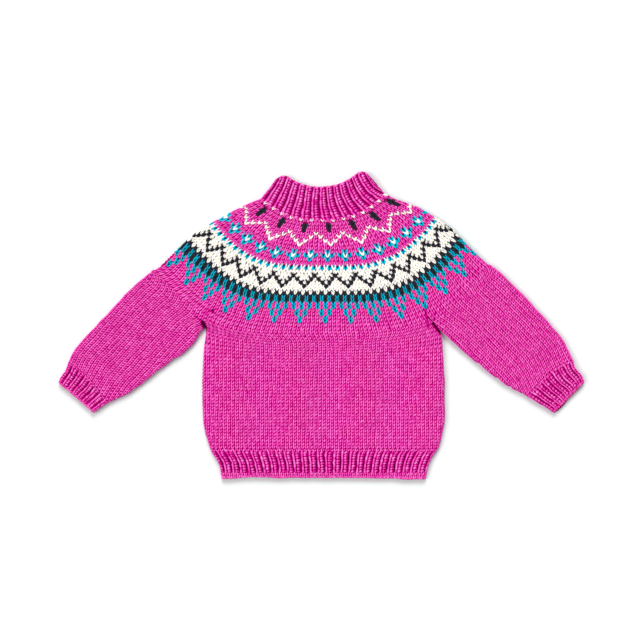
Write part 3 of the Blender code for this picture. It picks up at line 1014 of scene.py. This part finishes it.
def make_body():
    """The body's columns stand upright on the front, so they are counted by the folds' x."""
    lines = [body_top, *torso_lines(body_top, BODY_ROWS)]
    keys = mean_distances(lines)
    lefts = [line[0][0] for line in lines]
    rights = [line[-1][0] for line in lines]

    def columns(face, down):
        left = np.interp(down, keys, lefts) - QUARTER
        right = np.interp(down, keys, rights) + QUARTER
        return left / PITCH, right / PITCH - (0 if face > 0 else BODY_ROUND)

    tube = Tube(lines, keys, merged_columns(left_cut, right_cut, columns))
    dress_plain("body", tube, count=38, across=58)


def make_sleeve(side, rows, count):
    """The sleeve's columns follow its outer fold."""
    top = cut_line(join, *sleeve_ends[side])
    lines = [top, *arm_lines(top, rows)]
    tube = Tube(lines, mean_distances(lines))

    def columns(face, down):
        span = tube.girth(down) / PITCH
        nothing = np.zeros_like(span)
        return (nothing, face * span) if side == "left" else (-face * span, nothing)

    tube.columns = merged_columns(*sleeve_ends[side], columns)
    dress_plain(f"sleeve_{side}", tube, count, across=18)


make_body()
make_sleeve("left", SLEEVE_ROWS_LEFT, count=45)
make_sleeve("right", SLEEVE_ROWS_RIGHT, count=42)


# Yoke.

def ground_yarn(row):
    """The yarn that shows between a chart row's stitches."""
    return YARNS.index(next(yarn for below, yarn in GROUNDS if row.down < below))


def yoke_rise(share, down):
    inside = np.clip(share, 0, 1)
    left = column_at(RISES, "left", down) * np.maximum(0, (0.5 - inside) / 0.5) ** 2
    right = column_at(RISES, "right", down) * np.maximum(0, (inside - 0.5) / 0.5) ** 2
    return left + right


def yoke_turn(share, down):
    """How far the front's columns turn in at the folds, in millimetres."""
    left, right = (column_at(TURNS, name, down) for name in ("left", "right"))
    return (left * smooth((TURN_BEGINS[0] - share) / TURN_SPANS[0])
            - right * smooth((share - TURN_BEGINS[1]) / TURN_SPANS[1]))


def chart_stitches(face):
    """Stitches of one panel of the yoke, coloured by the chart."""
    stitches = Stitches(7 + face)
    first, last = sorted((YOKE_FIRST, YOKE_LAST - (0 if face > 0 else REPEATS)))
    teal, bright = YARNS.index("t"), YARNS.index("b")
    above = ABOVE_CHART
    for row in CHART:
        pitch = 1.0 / row.stitches
        index = np.arange(math.ceil((first - row.start) / pitch - 0.5),
                          math.floor((last - row.start) / pitch - 0.5) + 1)
        columns = row.start + index * pitch
        keep = (columns > first) & (columns <= last)
        index, columns = index[keep], columns[keep]
        yarns = np.array([YARNS.index(row.yarns[i % len(row.yarns)]) for i in index])
        if row.down == DOT_ROW:
            tall = np.where(yarns == teal, *DOT_TALL)
        else:
            tall = np.where((yarns == ground_yarn(row)) | (yarns == bright), 1.0, PATTERN_TALL)
        width, low, high = np.full((len(columns), 3), (pitch, row.down, above)).T
        for fit in FITS:
            if fit.down == row.down:
                own = yarns == YARNS.index(fit.yarn)
                width[own] *= fit.width
                low[own] -= fit.above
                high[own] = low[own] - (row.down - above) * fit.length
        stitches.add(columns, low, high, yarns, width, tall)
        above = row.down
    return stitches


def yoke_grounds(rows, count):
    """Yarns of the yoke's shell: each row's ground, and charcoal under the drops."""
    result = np.repeat(np.array([ground_yarn(row) for row in CHART[:rows]])[:, None], count, axis=1)
    share = (np.arange(count) + 0.5) / (count / 2)
    repeat = np.where(share < 1, mix(YOKE_FIRST, YOKE_LAST, share),
                      mix(YOKE_LAST, YOKE_FIRST + REPEATS, share - 1))
    for index, row in enumerate(CHART[:rows]):
        for down, half in DROPS:
            if row.down == down:
                away = np.abs(np.mod(repeat - row.start + 1, 2) - 1)
                result[index, away < half] = YARNS.index("k")
    return result


def make_yoke():
    downs = [YOKE_TOP, *range(YOKE_STEP, int(YOKE_DEPTH), YOKE_STEP), YOKE_DEPTH]
    tube = Tube([yoke_line(down) for down in downs], downs,
                fixed_columns(YOKE_FIRST, YOKE_LAST, REPEATS), rise=yoke_rise,
                widen=lambda down: column_at(RISES, "widen", down), turn=yoke_turn)
    legs = {face: chart_legs(chart_stitches(face)) for face in (FRONT, BACK)}
    marks = [YOKE_TOP, *[row.down for row in CHART[:-1]], YOKE_DEPTH]
    dress("yoke", tube, marks, panel_ring(across=84), legs, yoke_grounds)


make_yoke()


# Ribbed bands.

# A band's ribs all round, its rows of stitches, those of them that are plain, the share of its
# ribs' height and of their valleys' painted shade along it, its rows of edge bumps (bottom, top,
# step in ribs, the first bump's place and their width), how far its stitches may reach past its
# length at the top and the bottom, how its columns widen in the middle at both, and how far its
# back shows.
Band = namedtuple("Band", "ribs rows plain depths edges free widen peek",
                  defaults=((0.0, 0.0), 0.0))
HEM = Band(56, 11, (0, 9, 10), ((0, 0), (0.12, 0.3), (0.35, 0.85), (0.72, 0.95), (0.84, 0)),
           ((36.2, 33.6, 0.25, 0, 0.44), (34, 31.4, 0.25, 0.12, 0.44)), (-math.inf, 0.3))
CUFF_LEFT = Band(16, 10, (0, 9), ((0, 0), (0.2, 0.6), (0.5, 0.65), (0.85, 0)),
                 ((27, 24.4, 0.25, 0, 0.44),), (-math.inf, 0.3))
CUFF_RIGHT = Band(18, 10, (0, 9), ((0, 0), (0.2, 0.65), (0.6, 0.7), (0.9, 0)),
                  ((29.2, 26.6, 0.25, 0, 0.44),), (-math.inf, 0.3), peek=1)
NECK = Band(28, 13, (), ((0, 0.3), (0.12, 0.74), (0.62, 0.74), (0.88, 0.5), (1, 0.15)),
            ((0, 3.2, 1, 0.42, 1.8),), (-0.7, math.inf), widen=(-0.08, 0.05))


def rib_relief(depth):
    """Relief of a band whose ribs have a share of their height along it."""
    def relief(column, down):
        away = np.abs(np.mod(column + 0.5, 1.0) - 0.5)
        crest = np.clip((away - RIB_FLANK) / RIB_FLANK, 0, 1)
        return mix(RIB_VALLEY, RIB_RISE, crest) * depth(down)
    return relief


def rib_legs(tube, face, band):
    """Legs of a band: its plain rows, knit columns, the bumps beside them and on its edge."""
    plain, knit, purl, edge = (Stitches(seed + face, 0.5) for seed in (21, 31, 41, 51))
    pitch = tube.length / band.rows
    for row in range(band.rows):
        low = (row + 1) * pitch
        middle = low - pitch / 2
        if row in band.plain:
            halves = places(tube, face, middle, 0.25, 0.5)
            plain.add(halves, low, low - pitch, width=0.5)
        else:
            knit.add(places(tube, face, middle), low, low - pitch)
            purl.add(places(tube, face, middle, 0.0), low, low - pitch)
    for bottom, top, step, start, width in band.edges:
        low = min(bottom, tube.length)
        bumps = places(tube, face, low, start, step)
        edge.add(bumps, low, low - (bottom - top), width=width)
    return (plain_legs(plain) + legs_of(knit.table(), RIB_LEFT_LEG, RIB_RIGHT_LEG)
            + legs_of(purl.table(), PURL_BUMP, lying=True)
            + legs_of(edge.table(), EDGE_BUMP, lying=True))


def make_band(node, lines, columns, band):
    keys = mean_distances(lines)
    shares, depths = zip(*band.depths)
    marks = [share * keys[-1] for share in shares]

    def depth(down):
        return np.interp(down, marks, depths)

    tube = Tube(lines, keys, columns, relief=rib_relief(depth), depth=depth, has_ribs=1.0,
                mottle=BAND_MOTTLE, ends=(band.free[0], keys[-1] + band.free[1]), peek=band.peek,
                widen=lambda down: mix(*band.widen, down / keys[-1]))
    legs = {face: rib_legs(tube, face, band) for face in (FRONT, BACK)}
    rings = np.linspace(0, tube.length, band.rows + 1)
    dress(node, tube, rings, rib_ring(band.ribs), legs)


def neck_columns(face, down):
    top = np.clip(1 - down / NECK_LENGTH, 0, 1)
    a = mix(*NECK_FIRST, top)
    b = a + mix(*NECK_ACROSS, top)
    return (a, b) if face > 0 else (a, b - NECK.ribs)


make_band("hem_rib", hem_lines(), fixed_columns(*HEM_FOLDS, HEM.ribs), HEM)
make_band("cuff_left", arm_lines(LEVEL, CUFF_ROWS_LEFT), fixed_columns(0, 8, 16), CUFF_LEFT)
make_band("cuff_right", arm_lines(LEVEL, CUFF_ROWS_RIGHT), fixed_columns(0, 9, 18), CUFF_RIGHT)
make_band("neckband", collar_lines(), neck_columns, NECK)


# Light and camera.

CAMERA_PLACE = (-0.00156, 0.006, 2.4)
CLOTH_HEIGHT = 0.004  # the level at which the picture's field is measured
FIELD = 0.768
SENSOR = 36
camera = bpy.data.cameras.new("camera")
camera.sensor_width = SENSOR
camera.sensor_fit = "HORIZONTAL"
camera.lens = SENSOR * (CAMERA_PLACE[2] - CLOTH_HEIGHT) / FIELD
camera_object = link_object("camera", camera)
camera_object.location = CAMERA_PLACE
bpy.context.scene.camera = camera_object

world = bpy.data.worlds.new("studio")
world.use_nodes = True
set_inputs(world.node_tree.nodes["Background"], {"Color": (1, 1, 1, 1), "Strength": 0.5})
bpy.context.scene.world = world

SUN_ANGLE = math.radians(32)
SUNS = (("top", 2.1, (0, -1.3, -1.2)), ("side", 1.25, (1.15, 0.1, -1.25)))
for name, energy, direction in SUNS:
    sun = bpy.data.lights.new(name, "SUN")
    sun.energy = energy
    sun.angle = SUN_ANGLE
    turned = Vector(direction).to_track_quat("-Z", "Y").to_euler()
    link_object(name, sun).rotation_euler = turned
bpy.context.scene.view_settings.view_transform = "Standard"
